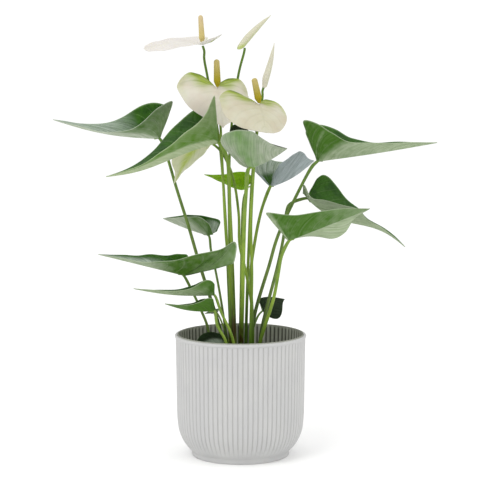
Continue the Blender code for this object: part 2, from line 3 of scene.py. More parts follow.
import bmesh
import bpy
import numpy as np
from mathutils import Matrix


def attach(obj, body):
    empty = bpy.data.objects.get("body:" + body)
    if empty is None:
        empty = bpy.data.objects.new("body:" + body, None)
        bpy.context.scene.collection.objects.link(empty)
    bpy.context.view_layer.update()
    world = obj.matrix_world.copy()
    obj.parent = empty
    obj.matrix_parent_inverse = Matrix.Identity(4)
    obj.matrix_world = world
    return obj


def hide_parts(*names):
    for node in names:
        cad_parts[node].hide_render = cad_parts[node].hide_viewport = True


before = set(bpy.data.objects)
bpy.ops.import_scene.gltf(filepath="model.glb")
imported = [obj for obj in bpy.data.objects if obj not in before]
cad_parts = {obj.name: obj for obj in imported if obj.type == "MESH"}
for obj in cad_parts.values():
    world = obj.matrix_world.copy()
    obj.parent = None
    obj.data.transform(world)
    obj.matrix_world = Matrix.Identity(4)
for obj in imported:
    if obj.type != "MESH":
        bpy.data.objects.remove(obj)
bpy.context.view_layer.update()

# Lengths are in millimetres until a mesh is made. +Z is up and the viewer looks along +Y.
millimetre = 0.001
weldDistance = 0.002 * millimetre
sideways = np.array([0.25, 1, 0])  # no stem runs this way


# Small helpers for shapes

def unit(vectors):
    return vectors / np.maximum(np.linalg.norm(vectors, axis=-1, keepdims=True), 1e-9)


def smoothPath(points, steps):
    # a cubic through every point; its slope at each is half the step from the one before to the one after
    points = np.array(points, float)
    chain = np.vstack([2 * points[0] - points[1], points, 2 * points[-1] - points[-2]])
    p0, p1, p2, p3 = (chain[k:len(chain) - 3 + k, None] for k in range(4))
    t = (np.arange(steps) / steps)[None, :, None]
    path = 0.5 * (2 * p1 + (p2 - p0) * t + (2 * p0 - 5 * p1 + 4 * p2 - p3) * t ** 2
                  + (3 * p1 - p0 - 3 * p2 + p3) * t ** 3)
    return np.vstack([path.reshape(-1, points.shape[1]), points[-1:]])


def fade(x, low, high):
    # 0 below low, 1 above high and an even S between them
    t = np.clip((np.asarray(x, float) - low) / (high - low), 0, 1)
    return t * t * (3 - 2 * t)


def gridPart(points, uv, paint=0, closed=False, flip=False, tone=0.0):
    # the quads of a grid of points; closed joins its last column to the first; tone shades a material
    rows, columns = points.shape[:2]
    i, j = np.meshgrid(np.arange(rows - 1), np.arange(columns if closed else columns - 1), indexing="ij")
    k = (j + 1) % columns
    quads = np.stack([i * columns + j, (i + 1) * columns + j, (i + 1) * columns + k, i * columns + k], -1)
    quads = quads.reshape(-1, 4)[:, ::-1 if flip else 1]
    paint = np.broadcast_to(paint, (rows - 1, j.shape[1])).reshape(-1)
    tone = np.broadcast_to(tone, (rows, columns)).reshape(-1)
    return points.reshape(-1, 3), quads, uv.reshape(-1, 2), paint, tone


def addToScene(name, data):
    thing = bpy.data.objects.new(name, data)
    bpy.context.scene.collection.objects.link(thing)
    return thing


def makePiece(name, gridParts, skinNames, nodes, sharp=50):
    # joins the grids into one mesh, closes its seams and poles and puts it in place of the CAD nodes;
    # sharp is the angle between two faces, in degrees, past which the edge stays sharp
    points, quads, uv, paint, tone = zip(*gridParts)
    start = np.cumsum([0] + [len(part) for part in points])
    quads = np.vstack([part + first for part, first in zip(quads, start)])
    mesh = bpy.data.meshes.new(name)
    mesh.from_pydata((np.vstack(points) * millimetre).tolist(), [], quads.tolist())
    mesh.polygons.foreach_set("material_index", np.concatenate(paint).astype(np.int32))
    shades = mesh.attributes.new("tone", "FLOAT", "POINT")
    shades.data.foreach_set("value", np.concatenate(tone).astype(np.float32))
    layer = mesh.uv_layers.new(name="surface")
    corner = np.zeros(len(mesh.loops), np.int32)
    mesh.loops.foreach_get("vertex_index", corner)
    layer.data.foreach_set("uv", np.vstack(uv)[corner].astype(np.float32).ravel())
    work = bmesh.new()
    work.from_mesh(mesh)
    bmesh.ops.remove_doubles(work, verts=work.verts, dist=weldDistance)
    bmesh.ops.dissolve_degenerate(work, edges=work.edges, dist=weldDistance / 2)
    work.to_mesh(mesh)
    work.free()
    mesh.shade_smooth()
    mesh.set_sharp_from_angle(angle=math.radians(sharp))
    for skin in skinNames:
        mesh.materials.append(skins[skin])
    piece = addToScene(name, mesh)
    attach(piece, "root")
    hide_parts(*nodes)


def evenTurns(count):
    # angles at even steps round a circle
    return np.arange(count) / count * math.tau


def pairGrid(u, v):
    # the two values of the UV map at every point of a grid
    return np.stack(np.broadcast_arrays(u, v), -1)


def withPoles(body, ends):
    # a tube with a row more at each end, where all its points are the end point
    poles = [np.repeat(end[None, None], body.shape[1], axis=1) for end in ends]
    return np.concatenate([poles[0], body, poles[1]])


def tubePart(path, radii, sides, lengthwise, paint=0):
    # a ring carried along a path and closed by a pole at each end; u runs round it and v along it
    along = unit(np.gradient(path, axis=0))
    first = unit(np.cross(along, sideways))
    second = np.cross(along, first)
    turn = evenTurns(sides)
    ring = first[:, None] * np.cos(turn)[:, None] + second[:, None] * np.sin(turn)[:, None]
    body = path[:, None] + ring * radii[:, None, None]
    v = np.concatenate([lengthwise[:1], lengthwise, lengthwise[-1:]])
    uv = pairGrid(turn / math.tau, v[:, None])
    return gridPart(withPoles(body, path[[0, -1]]), uv, paint, closed=True, flip=True)


# Materials

def colour(code):
    # an sRGB hex colour as the linear values that shaders take
    parts = [int(code[k:k + 2], 16) / 255 for k in (1, 3, 5)]
    return tuple(c / 12.92 if c <= 0.04045 else ((c + 0.055) / 1.055) ** 2.4 for c in parts) + (1,)


def addNode(tree, kind, inputs, output=0, **settings):
    # adds a node with its settings; its inputs are a list in the node's own order or a dictionary, and each
    # is a plain value or the socket that it is linked from
    node = tree.nodes.new("ShaderNode" + kind)
    for key, value in settings.items():
        setattr(node, key, value)
    for key, value in inputs.items() if isinstance(inputs, dict) else enumerate(inputs):
        if isinstance(value, bpy.types.NodeSocket):
            tree.links.new(value, node.inputs[key])
        else:
            node.inputs[key].default_value = value
    return node.outputs[output]


# settings that recur; a soft step takes a value, where it starts and ends, and what it gives there
soft = {"interpolation_type": "SMOOTHSTEP"}
times = {"operation": "MULTIPLY"}
timesPlus = {"operation": "MULTIPLY_ADD"}
plus = {"operation": "ADD"}
larger = {"operation": "MAXIMUM"}
absolute = {"operation": "ABSOLUTE"}
backAndForth = {"operation": "PINGPONG"}


def startSkin(name, roughness, specular, **more):
    # a new material with these values on its shader's own sockets
    skin = bpy.data.materials.new(name)
    skin.use_nodes = True
    for key, value in {"Roughness": roughness, "Specular IOR Level": specular, **more}.items():
        skin.node_tree.nodes["Principled BSDF"].inputs[key].default_value = value
    return skin, skin.node_tree


def finishSkin(skin, base, layers, relief, depth):
    # lays each colour over the one before, as far as its amount says, and links the result and a relief
    # whose full height is depth millimetres
    tree = skin.node_tree
    base = colour(base)
    for amount, code in layers:
        base = addNode(tree, "Mix", {0: amount, 6: base, 7: colour(code)}, 2, data_type="RGBA")
    normal = addNode(tree, "Bump", {"Height": relief, "Distance": depth * millimetre})
    shader = tree.nodes["Principled BSDF"].inputs
    tree.links.new(base, shader["Base Color"])
    tree.links.new(normal, shader["Normal"])
    return skin


def patches(tree, width, detail=3, stretch=(1, 1, 1)):
    # cloudy patches about width millimetres across, as 0 to 1, on the piece's own coordinates
    place = addNode(tree, "TexCoord", {}, "Object")
    place = addNode(tree, "Mapping", {"Vector": place, "Scale": stretch})
    return addNode(tree, "TexNoise", {"Vector": place, "Scale": 1 / (width * millimetre), "Detail": detail})


def clouds(tree, width, low=0.3):
    # the same with clearer edges: 0 up to low and 1 from 1 - low
    return addNode(tree, "MapRange", [patches(tree, width), low, 1 - low], **soft)


veins = {
    "pairs": 9,  # side veins in each half of a blade
    "lean": 0.16,  # how far a side vein bends towards the tip
    "thin": 0.035,  # half width of a side vein, as a share of the space between two
    "streaks": 46,  # fine streaks between them, along the margin
    "streakBreaks": 3,  # how often a streak changes on its way across the blade
    "spatheThin": 0.07,  # the half width and the streaks of a spathe
    "spatheStreaks": 23,
}


def bladePattern(tree, thin, count):
    # how far a point is from the midrib (0 to 1); then the midrib and the side veins, which lie at even
    # steps, thin their half width, and bend towards the tip; count uneven streaks along them; its tone
    place = addNode(tree, "TexCoord", {}, "UV")
    u = addNode(tree, "SeparateXYZ", [place], "X")
    v = addNode(tree, "SeparateXYZ", [place], "Y")
    across = addNode(tree, "Math", [v, 2, -1], **timesPlus)
    across = addNode(tree, "Math", [across], **absolute)
    bend = addNode(tree, "Math", [across, across], **times)
    bent = addNode(tree, "Math", [bend, -veins["lean"], u], **timesPlus)
    beat = addNode(tree, "Math", [bent, veins["pairs"]], **times)
    offset = addNode(tree, "Math", [beat, 0.5], **backAndForth)
    side = addNode(tree, "MapRange", [offset, 0.2 * thin, 2.4 * thin, 1, 0], **soft)
    outer = addNode(tree, "MapRange", [across, 0.8, 1, 1, 0.15], **soft)
    side = addNode(tree, "Math", [side, outer], **times)
    rib = addNode(tree, "MapRange", [across, 0.02, 0.06, 1, 0], **soft)
    lines = addNode(tree, "Math", [side, rib], **larger)
    place = addNode(tree, "CombineXYZ", [bent, v])
    place = addNode(tree, "Mapping", {"Vector": place, "Scale": (count, veins["streakBreaks"], 1)})
    noise = addNode(tree, "TexNoise", {"Vector": place, "Scale": 1, "Detail": 2})
    streaks = addNode(tree, "MapRange", [noise, 0.3, 0.7], **soft)
    return across, lines, streaks, addNode(tree, "Attribute", {}, "Fac", attribute_name="tone")


def veinsAndRim(tree, lines, across, faint, rim):
    # the veins, as faint as given, and the margin past rim
    lines = addNode(tree, "Math", [lines, faint], **times)
    edge = addNode(tree, "MapRange", [across, rim, 1, 0, 0.6], **soft)
    return addNode(tree, "Math", [lines, edge], **larger)


def leafTop(name, dark, light, paintedSheen, vein):
    # waxy upper side of an evergreen leaf: deep green, puckered between hair-thin paler veins; where the
    # tone is high it is painted pale grey-green, a painted reflection of the sky, broken up by streaks
    skin, tree = startSkin(name, 0.38, 0.07)
    across, lines, streaks, tone = bladePattern(tree, veins["thin"], veins["streaks"])
    uneven = addNode(tree, "MapRange", [streaks, 0, 1, 0.6, 1.15])
    # pale: how far the painted reflection of the sky covers the green
    pale = addNode(tree, "Math", [tone, uneven], use_clamp=True, **times)
    marks = veinsAndRim(tree, lines, across, 0.2, 0.95)
    relief = addNode(tree, "Math", [lines, -0.25, patches(tree, 5, 1.5)], **timesPlus)
    # the lighter patches are partly uneven colour and partly painted glints on the puckers
    layers = [(clouds(tree, 12), light), (pale, paintedSheen), (marks, vein)]
    return finishSkin(skin, dark, layers, relief, 1.8)


def leafUnder(name, pale, green, vein, strength):
    # matt underside: pale and frosted, with painted light: fresh green where the tone is high, as if light
    # shone through the blade; fine darker streaks along the side veins, as strong as strength says, and a
    # thin pale rim
    skin, tree = startSkin(name, 0.6, 0.15)
    across, lines, streaks, tone = bladePattern(tree, veins["thin"], veins["streaks"])
    drift = addNode(tree, "Math", [patches(tree, 9), 0.8, -0.4], **timesPlus)
    # the tone paints light shining through the blade as fresh green
    tone = addNode(tree, "Math", [tone, drift], use_clamp=True, **plus)
    faint = addNode(tree, "Math", [streaks, strength], **times)
    marks = veinsAndRim(tree, lines, across, 0.1, 0.965)
    relief = addNode(tree, "Math", [streaks, 0.5, lines], **timesPlus)
    return finishSkin(skin, pale, [(tone, green), (faint, vein), (marks, pale)], relief, 0.3)


def stemSkin(name, foot, low, high, streak, husk=0, dry="#38220f"):
    # smooth juicy stem: dull green at its foot, then yellow-green, deeper above, with faint streaks along
    # it; husk is how much of the foot is hidden by scraps of a dry sheath, and dry is the brown of it
    skin, tree = startSkin(name, 0.42, 0.16)
    v = addNode(tree, "SeparateXYZ", [addNode(tree, "TexCoord", {}, "UV")], "Y")
    above = addNode(tree, "MapRange", [v, 0.3, 0.95], **soft)
    below = addNode(tree, "MapRange", [v, 0.15, 0.6, 1, 0], **soft)
    scraps = addNode(tree, "MapRange", [patches(tree, 5, stretch=(1, 1, 0.3)), 0.36, 0.46], **soft)
    lowest = addNode(tree, "MapRange", [v, 0.2, 0.3, husk, 0], **soft)
    sheath = addNode(tree, "Math", [scraps, lowest], **times)
    streaks = patches(tree, 2.2, stretch=(1, 1, 0.06))
    marks = addNode(tree, "MapRange", [streaks, 0.45, 0.7, 0, 0.7], **soft)
    layers = [(above, high), (below, foot), (sheath, dry), (marks, streak)]
    return finishSkin(skin, low, layers, streaks, 0.2)


def spatheSkin(name, cream, warm, green, vein, contrast):
    # waxy spathe, a little light passing into it: cream in two shades, yellow-green where the tone is
    # high, mostly between the ridge and the rim of the lobes, partly its own green and partly painted shade
    # where the lobes roll back, its veins there as clear as contrast says; where the tone is past 1, on the
    # rim beside the sinus, painted shade in the colour of the veins
    glow = {"Subsurface Weight": 0.08, "Subsurface Radius": (1, 1, 0.6), "Subsurface Scale": 2 * millimetre}
    skin, tree = startSkin(name, 0.5, 0.3, **glow)
    _, lines, streaks, tone = bladePattern(tree, veins["spatheThin"], veins["spatheStreaks"])
    # painted shade on the rim beside the sinus, where the tone is past 1
    shade = addNode(tree, "MapRange", [tone, 1, 2, 0, 0.9])
    uneven = addNode(tree, "MapRange", [streaks, 0, 1, 0.75, 1.1])
    tone = addNode(tree, "Math", [tone, uneven], use_clamp=True, **times)
    strength = addNode(tree, "MapRange", [tone, 0, 1, 0.02, contrast])
    marks = addNode(tree, "Math", [lines, strength], **times)
    marks = addNode(tree, "Math", [marks, shade], **larger)
    relief = addNode(tree, "Math", [streaks, 0.4, lines], **timesPlus)
    layers = [(clouds(tree, 16), warm), (tone, green), (marks, vein)]
    return finishSkin(skin, cream, layers, relief, contrast / 5)


def spadixSkin(name, low, high, gap):
    # packed florets, dull and dry: yellow below and tan above, with painted shade in the gaps between them
    skin, tree = startSkin(name, 0.65, 0.2)
    place = addNode(tree, "TexCoord", {}, "UV")
    height = addNode(tree, "SeparateXYZ", [place], "X")
    floret = addNode(tree, "SeparateXYZ", [place], "Y")
    climb = addNode(tree, "MapRange", [height, 0.15, 0.95], **soft)
    # painted shade in the gaps between the florets
    marks = addNode(tree, "MapRange", [floret, 0.15, 0.6, 0.5, 0], **soft)
    return finishSkin(skin, low, [(climb, high), (marks, gap)], patches(tree, 0.5, 2), 0.1)


def plainSkin(name, roughness, specular, first, second, groove, width, grain, depth=0.02):
    # two close shades in patches of this width, with painted shade in grooves where the tone is high, over
    # a fine even grain; grain is its width and depth its relief, in millimetres
    skin, tree = startSkin(name, roughness, specular)
    tone = addNode(tree, "Attribute", {}, "Fac", attribute_name="tone")
    layers = [(clouds(tree, width), second), (tone, groove)]
    return finishSkin(skin, first, layers, patches(tree, grain, 2), depth)


def dampPeat():
    # potting soil: damp and dull, very dark brown with lighter fibres and crumbs of bark
    skin, tree = startSkin("Damp potting peat", 0.95, 0.15)
    crumb = addNode(tree, "MapRange", [patches(tree, 1.1, 4), 0.45, 0.7], **soft)
    layers = [(clouds(tree, 5, 0.35), "#3a2b1e"), (crumb, "#5b4a37")]
    return finishSkin(skin, "#241a12", layers, patches(tree, 0.9, 4), 0.5)


skins = {
    "top": leafTop("Waxy leaf upper side", "#1f4607", "#335e0f", "#a9b5a8", "#7c9965"),
    "under": leafUnder("Matt leaf underside", "#a5b294", "#3c6414", "#5c7d40", 0.4),
    "freshUnder": leafUnder("Fresh green leaf underside", "#b3c09b", "#4d7a13", "#648741", 0.35),
    # an underside painted lighter: painted light, for leaves that the lamps leave in shade
    "paleUnder": leafUnder("Pale leaf underside, painted light", "#b8c0ae", "#416a18", "#5d7c44", 0.5),
    "greyUnder": leafUnder("Greyish leaf underside", "#a4ac98", "#548428", "#4c6a40", 0.4),
    # another underside painted lighter: painted light
    "frostedUnder": leafUnder("Frosted leaf underside, painted light", "#aeb9a1", "#3c660e", "#64803f", 0.4),
    "youngTop": leafTop("Young leaf upper side", "#6d9c04", "#7fae14", "#95b82c", "#a4c653"),
    "youngUnder": leafUnder("Young leaf underside", "#9aba30", "#729c0c", "#5f8a0a", 0.4),
    "blueUnder": leafUnder("Bluish leaf underside", "#a9b3b6", "#6d7d6c", "#62726e", 0.65),
    # the upper side painted near black: painted shade on leaves that lie in the shade of others
    "darkTop": leafTop("Leaf upper side in painted shade", "#121f0c", "#1b2c14", "#93a08e", "#3d5628"),
    "stem": stemSkin("Green stem", "#415e10", "#8aa43a", "#748e3c", "#5a7a2a"),
    # a stem painted darker above: painted shade
    "darkStem": stemSkin("Green stem, painted shade above", "#415e10", "#839c34", "#5b782b", "#55752a"),
    # a stem painted darker all along: painted shade
    "oliveStem": stemSkin("Green stem in painted shade", "#34491c", "#718643", "#64803a", "#4b6630"),
    "sheathedStem": stemSkin("Green stem in a dry sheath", "#415e10", "#8aa43a", "#748e3c", "#5a7a2a",
                             0.95),
    "spathe": spatheSkin("Waxy cream spathe", "#d3cfc2", "#cfc6b8", "#92a636", "#566a1c", 0.5),
    # the spathe painted darker all over: painted shade
    "dullSpathe": spatheSkin("Waxy cream spathe in painted shade", "#c5c1b0", "#bfb6a3", "#8fa033", "#53681a", 0.5),
    "paleSpathe": spatheSkin("Waxy white spathe", "#d5d1cc", "#d0cbc5", "#c2cd9a", "#a9b584", 0.3),
    "hangingSpathe": spatheSkin("Waxy cream spathe back", "#dfdecb", "#d6d6be", "#b3c260", "#9db058", 0.5),
    "bud": spatheSkin("Furled spathe", "#c9c6b3", "#c5c1ae", "#adba6c", "#adba6c", 0.02),
    "spadix": spadixSkin("Spadix florets", "#a09316", "#bbac6e", "#7a6a14"),
    "paleSpadix": spadixSkin("Pale spadix florets", "#cdbd7a", "#cdba90", "#a08e50"),
    # moulded polypropylene, matt, light warm grey-white, with painted shade in its grooves
    "pot": plainSkin("Moulded matt polypropylene", 0.55, 0.35, "#bebebd", "#bababa", "#a5a5a3", 30, 0.8),
    # its inner wall: the same plastic painted darker and greenish, painted shade inside the pot and painted
    # green light thrown from the stems
    "potInsidePaintedShade": plainSkin("Inner wall of matt polypropylene, painted shade", 0.7, 0.2, "#b0b2a6", "#a6a89c", "#4b4d42",
                           25, 0.8),
    # thin polypropylene drawn into a grower's pot, black with a dull sheen
    "growPot": plainSkin("Thin black polypropylene", 0.45, 0.5, "#161615", "#242321", "#0d0d0c", 9, 1, 0.05),
    "soil": dampPeat(),
}
print("materials made")


# Outer pot: a profile turned about the Z axis, with narrow grooves between wide ribs inside and out

pot = {
    "ribs": 80, "columnsPerRib": 12, "uvHeight": 130,
    "grooveDepth": (0.95, 0.7),  # inside, then outside
    "grooveSharpness": (3, 6),
    # painted shade along the bottom of a groove: how narrow it is, inside then outside
    "grooveShadeSharpness": (2, 9),  # the same for the dark line at its bottom
    "fadeFoot": (5.5, 20),  # heights between which the grooves start and end
    "fadeLip": ((128.4, 129.5), (125.6, 126.8)),
    "lipInside": 4,  # points of the lip that belong to the inside
    # the rows below these take the painted shade of the inner wall
    "paleRows": 3,  # rows of the inside, under the lip, with the colour of the outside
    "inside": [(0, 4), (46, 4), (52, 6.5), (58, 13), (61.6, 22), (62.6, 30), (64.6, 75), (66.4, 126.6),
               (66.6, 128), (67.2, 129.6)],
    "lip": [(67.8, 129.95), (68.6, 130), (69.3, 129.8), (69.8, 129.2), (70, 128.4), (69.95, 127.5),
            (69.6, 127), (69.2, 126.7)],
    "outside": [(69.15, 125.4), (68.8, 105), (68.45, 80), (68.1, 55), (67.75, 43), (66.8, 32), (65.4, 25.5),
                (63.3, 20), (60.8, 15.2), (57.8, 11), (55.4, 8.2), (53.5, 6.3)],
    "foot": [(52.7, 5.5), (52.35, 4.8), (52.1, 3.5), (52, 1), (51.8, 0.3), (51.1, 0), (0, 0)],
}


def turnedGrid(radius, height, turn):
    # a point at each radius and height for every turn about the Z axis
    return np.stack(np.broadcast_arrays(radius * np.cos(turn), radius * np.sin(turn), height), -1)


def buildPot():
    inside = smoothPath(pot["inside"], 3)
    profile = np.vstack([inside, pot["lip"], smoothPath(pot["outside"], 4), pot["foot"]])
    radius, height = np.hsplit(profile, 2)
    row = np.arange(len(profile))[:, None]
    turn = evenTurns(pot["ribs"] * pot["columnsPerRib"])
    # groove depth: a raised cosine between two ribs, narrowed by a power, fading out at foot and lip
    beat = 0.5 - 0.5 * np.cos(turn * pot["ribs"])
    isInside = row < len(inside) + pot["lipInside"]
    top = np.where(isInside, *(fade(height, *span) for span in pot["fadeLip"]))
    amount = fade(height, *pot["fadeFoot"]) * (1 - top)
    kinds = ("grooveDepth", "grooveSharpness", "grooveShadeSharpness")
    depth, sharpness, line = (np.where(isInside, *pot[kind]) for kind in kinds)
    groove = np.where(isInside, 1, -1) * depth * amount * beat ** sharpness
    points = turnedGrid(radius + groove, height, turn)
    uv = pairGrid(turn / math.tau, height / pot["uvHeight"])
    # the inside below the pale rows gets the inner wall's skin, with its painted shade
    paint = (row[:-1] < len(inside) - pot["paleRows"]).astype(int)
    # the tone paints shade along the bottom of each groove
    grid = gridPart(points, uv, paint, closed=True, flip=True, tone=amount * beat ** line)
    makePiece("pot_ribbed", [grid], ["pot", "potInsidePaintedShade"], ["pot"], 60)


growPot = {
    "columns": 160, "uvHeight": 110,
    "profile": [(0, 5.5), (39, 5.5), (39.8, 6.5), (54.6, 104), (55.6, 106), (57.6, 106.3), (58.8, 105.6),
                (59, 104.6), (59, 102.4), (58.4, 101.9), (56.4, 101.4), (41.4, 6), (40.6, 4.4), (0, 4.3)],
}


def buildGrowPot():
    # a thin cone with a rolled rim that stands on the floor of the outer pot
    radius, height = np.hsplit(np.array(growPot["profile"]), 2)
    turn = evenTurns(growPot["columns"])
    uv = pairGrid(turn / math.tau, height / growPot["uvHeight"])
    grid = gridPart(turnedGrid(radius, height, turn), uv, closed=True, flip=True)
    makePiece("grow_pot_thin", [grid], ["growPot"], ["grow_pot"], 40)


soil = {
    "edge": 53.2,
    "top": 99.2,
    "side": [(53.2, 91.2), (39, 5.9), (0, 5.9)],
    "rings": 46, "columns": 150, "uvWidth": 100, "seed": 11,
    "heaps": [(26, 0.7), (11, 0.5), (5, 0.4), (2.4, 0.25)],  # width and height of the waves
    "waves": 7,  # how many of each width run across each other
    "heapGain": 2.6,  # makes up for what they lose by that
    "lumps": 420,
    "lumpGrid": (5, 7),  # rings and columns of one
    "lumpSize": (0.5, 3.7),
    "lumpRough": (0.72, 1.15),  # how far its points are pushed in or out
    "lumpLift": (-0.4, 1),  # how high it lies over the soil
}


def soilLumps(draw):
    # crumbs of peat and bark: small balls, flattened, turned and pushed in and out at random
    count = soil["lumps"]
    rings, columns = soil["lumpGrid"]
    height = np.linspace(-1, 1, rings)[:, None]
    ball = turnedGrid(np.sqrt(1 - height ** 2), height, evenTurns(columns))
    rough = draw.uniform(*soil["lumpRough"], (count, rings, columns, 1))
    rough[:, (0, -1)] = rough[:, (0, -1), :1]
    low, high = soil["lumpSize"]
    width = low + (high - low) * draw.uniform(0.3, 1, (count, 1)) ** 3
    shape = draw.uniform(0.55, 1, (count, 3)) * width * (1, 1, 0.7)
    lumps = ball * rough * shape[:, None, None]
    spin = draw.uniform(0, math.tau, (count, 1, 1))
    x, y, z = np.moveaxis(lumps, -1, 0)
    lumps = np.stack([x * np.cos(spin) - y * np.sin(spin), x * np.sin(spin) + y * np.cos(spin), z], -1)
    reach = np.sqrt(draw.uniform(0, 1, count)) * (soil["edge"] - high)
    way = draw.uniform(0, math.tau, count)
    lift = soil["top"] + draw.uniform(*soil["lumpLift"], count)
    lumps += np.stack([reach * np.cos(way), reach * np.sin(way), lift], -1)[:, None, None]
    return [gridPart(lump, np.zeros((rings, columns, 2)), closed=True) for lump in lumps]


def buildSoil():
    # a cone whose top is raised by waves of several widths that run in all directions
    draw = np.random.default_rng(soil["seed"])
    turn = evenTurns(soil["columns"])
    rings = np.linspace(0, soil["edge"], soil["rings"])[:, None]
    top = turnedGrid(rings, soil["top"], turn)
    for width, lift in soil["heaps"]:
        way, shift = draw.uniform(0, math.tau, (2, soil["waves"], 1, 1))
        waves = np.sin((top[..., 0] * np.cos(way) + top[..., 1] * np.sin(way)) / width * math.tau + shift)
        top[..., 2] += lift * waves.mean(0) * soil["heapGain"]
    points = np.concatenate([top, turnedGrid(*np.hsplit(np.array(soil["side"]), 2), turn)])
    grid = gridPart(points, points[..., :2] / soil["uvWidth"], closed=True, flip=True)
    makePiece("soil_peat", [grid] + soilLumps(draw), ["soil"], ["soil"], 80)


buildPot()
buildGrowPot()
buildSoil()
print("pot, grow pot and soil made")


# Tones along a margin: share of the way from the lobe to the tip, and tone
dull, fresh, even = [(0, 0.3), (1, 0.1)], [(0, 0.6), (1, 0.3)], [(0, 1), (1, 1)]

# What a leaf or a bloom has where its own entry doesn't say
usual = dict(outline="", bow=0, sway=0, skew=0, neck=0, foldTip=0, roll=0, lift=0, rim=0, ridge=0.05,
             whole=0, top="top", under="under", stem="stem", spadixSkin="spadix",
             green=(fresh, fresh, 0), paintedSheen=([(0, 0), (1, 0.1)], even))

# Leaves. base is where petiole and blade meet and tip is the drip tip; bow and sway bend the midrib.
# width is the half width from above, lobe how far the basal lobes reach back. near and far give the
# margins of both halves from the inner end of the lobe to the tip: distance along the midrib, and
# height above it. foot is where the petiole enters the soil, route its way up, thick its radii.
# top, under and stem name the skins. green is painted light: how green the underside is where light
# shines through the blade, near half then far half: share of the way along the margin, and tone; then
# how far towards the tip this moves from the midrib to the margin of the near half. paintedSheen is a
# painted reflection of the sky, how pale the upper side is: along the margin, then from the midrib
# outwards.
leaves = {}
leaves["leaf_01"] = dict(
    base=(-87, 25, 337), tip=(-201, 40, 356), width=24, lobe=16, bow=-5, foot=(-20, 12), thick=(2.1, 1.5),
    under="paleUnder", stem="oliveStem",
    near=[(-10, 24), (-16, 40), (-3, 34), (12, 19), (32, 7), (60, 3), (90, 2)],
    far=[(-6, 22), (-7, 32), (8, 36), (24, 33), (46, 18), (70, 7), (95, 3)],
    route=[(-21, 12, 129), (-42, 14, 197), (-55, 15, 242), (-68, 20, 283), (-79, 24, 320)],
    green=([(-0.1, 0.6), (0.2, 0.8), (0.3, 0.6), (0.36, 0), (1, -0.1)], dull, 0.3),
    paintedSheen=([(0.45, 0), (0.6, 0.7), (1, 1)], even))
leaves["leaf_02"] = dict(
    base=(-24, -15, 335), tip=(-138, -50, 302), width=28, lobe=10, bow=-3, sway=2, foot=(-12, -7),
    thick=(2.3, 1.9), under="freshUnder", stem="sheathedStem",
    near=[(-3, 26), (-1, 51), (12, 35), (26, 27), (42, 21), (62, 14), (89, 7)],
    far=[(-2, 23), (-7, 34), (-1, 37), (11, 35), (30, 27), (48, 18), (75, 8)],
    route=[(-10, -7, 124), (-11, -8, 221), (-12, -11, 290), (-14, -13, 318)],
    green=([(-0.5, 0.5), (-0.1, 0.85), (0.14, 0.8), (0.22, -0.1)], dull, 0.83))
leaves["leaf_03"] = dict(
    base=(9, -68, 312), tip=(48, -50, 331), width=24, lobe=29, bow=-2, foot=(2, -8), thick=(2.3, 1.9),
    under="greyUnder", top="darkTop", stem="sheathedStem",
    near=[(-12, 9), (-27, 33), (-24, 44), (-12, 45), (-1, 42), (8, 35), (23, 21)],
    far=[(1, 4), (-2, 24), (1, 40), (9, 43), (20, 36), (31, 19)],
    route=[(1, -10, 122), (2, -22, 168), (4, -46, 251), (6, -59, 289)],
    green=([(0, 0.1), (0.2, 0.1), (0.3, 0.4), (0.4, 0.7), (0.5, 0.5), (0.6, 0.2), (0.8, 0)], dull, 0))
leaves["leaf_04"] = dict(
    base=(32, 30, 285), tip=(81, 95, 308), width=24, lobe=8, bow=-4, foot=(12, 17), thick=(2, 1.6),
    under="blueUnder",
    near=[(-2, 14), (-4, 26), (8, 32), (24, 34), (44, 28), (66, 12)],
    far=[(0, 8), (1, 21), (12, 28), (28, 24), (46, 15), (66, 6)],
    route=[(13, 17, 135), (11, 22, 190), (15, 26, 224), (22, 29, 258)],
    green=([(0, 0.6), (0.1, 0.1), (1, 0)], dull, 0),
    paintedSheen=([(0, 1), (1, 0.8)], [(0.4, 0), (0.55, 1)]))
leaves["leaf_05"] = dict(
    base=(82, 10, 314), tip=(210, 30, 332), width=24, lobe=14, bow=-1, foot=(11, 5), thick=(2.1, 1.6),
    stem="oliveStem",
    near=[(-8, 26), (-13, 45), (0, 40), (13, 30), (28, 19), (54, 13), (88, 8)],
    far=[(-6, 22), (-6, 32), (10, 36), (28, 28), (44, 17), (64, 10), (94, 6)],
    route=[(11, 5, 119), (16, 6, 154), (30, 8, 201), (42, 8, 240), (70, 10, 298)],
    green=([(-0.2, 0.4), (-0.12, 0.9), (0.1, 1.1), (0.13, 0.7), (0.16, 1.1), (0.3, 1), (0.38, 0.1),
            (1, 0)], dull, 0.2))
leaves["leaf_06"] = dict(
    base=(72, 30, 272), tip=(176, 20, 221), width=22, lobe=13, bow=-1, sway=-5, foot=(20, 1),
    thick=(2.1, 1.5), stem="oliveStem",
    near=[(-8, 1), (-13, 9), (1, 6), (15, 13), (38, 18), (56, 17), (70, 8), (88, 3)],
    far=[(-4, 7), (-7, 20), (-5, 28), (4, 30), (18, 28), (39, 22), (56, 15), (73, 5)],
    route=[(23, 2, 137), (39, 14, 199), (46, 20, 232), (49, 24, 258), (54, 27, 267)],
    green=([(0, 0.1), (1, 0.1)], dull, 0))
leaves["leaf_07"] = dict(
    base=(51, -30, 234), tip=(136, -10, 265), width=12, lobe=15, foot=(18, -13), thick=(2.1, 1.6),
    near=[(-9, 22), (-15, 37), (2, 29), (18, 23), (45, 17), (68, 10)],
    far=[(-4, 4), (2, 2), (12, -2), (27, -7), (46, -17), (60, -16), (74, -5)],
    route=[(21, -13, 125), (34, -20, 168), (39, -25, 194), (43, -28, 217)],
    green=([(0, 0.1), (0.17, 0.2), (0.21, 1), (0.5, 1), (0.8, 0.7), (1, 0.5)], [(0, 0), (1, 0)], 0))
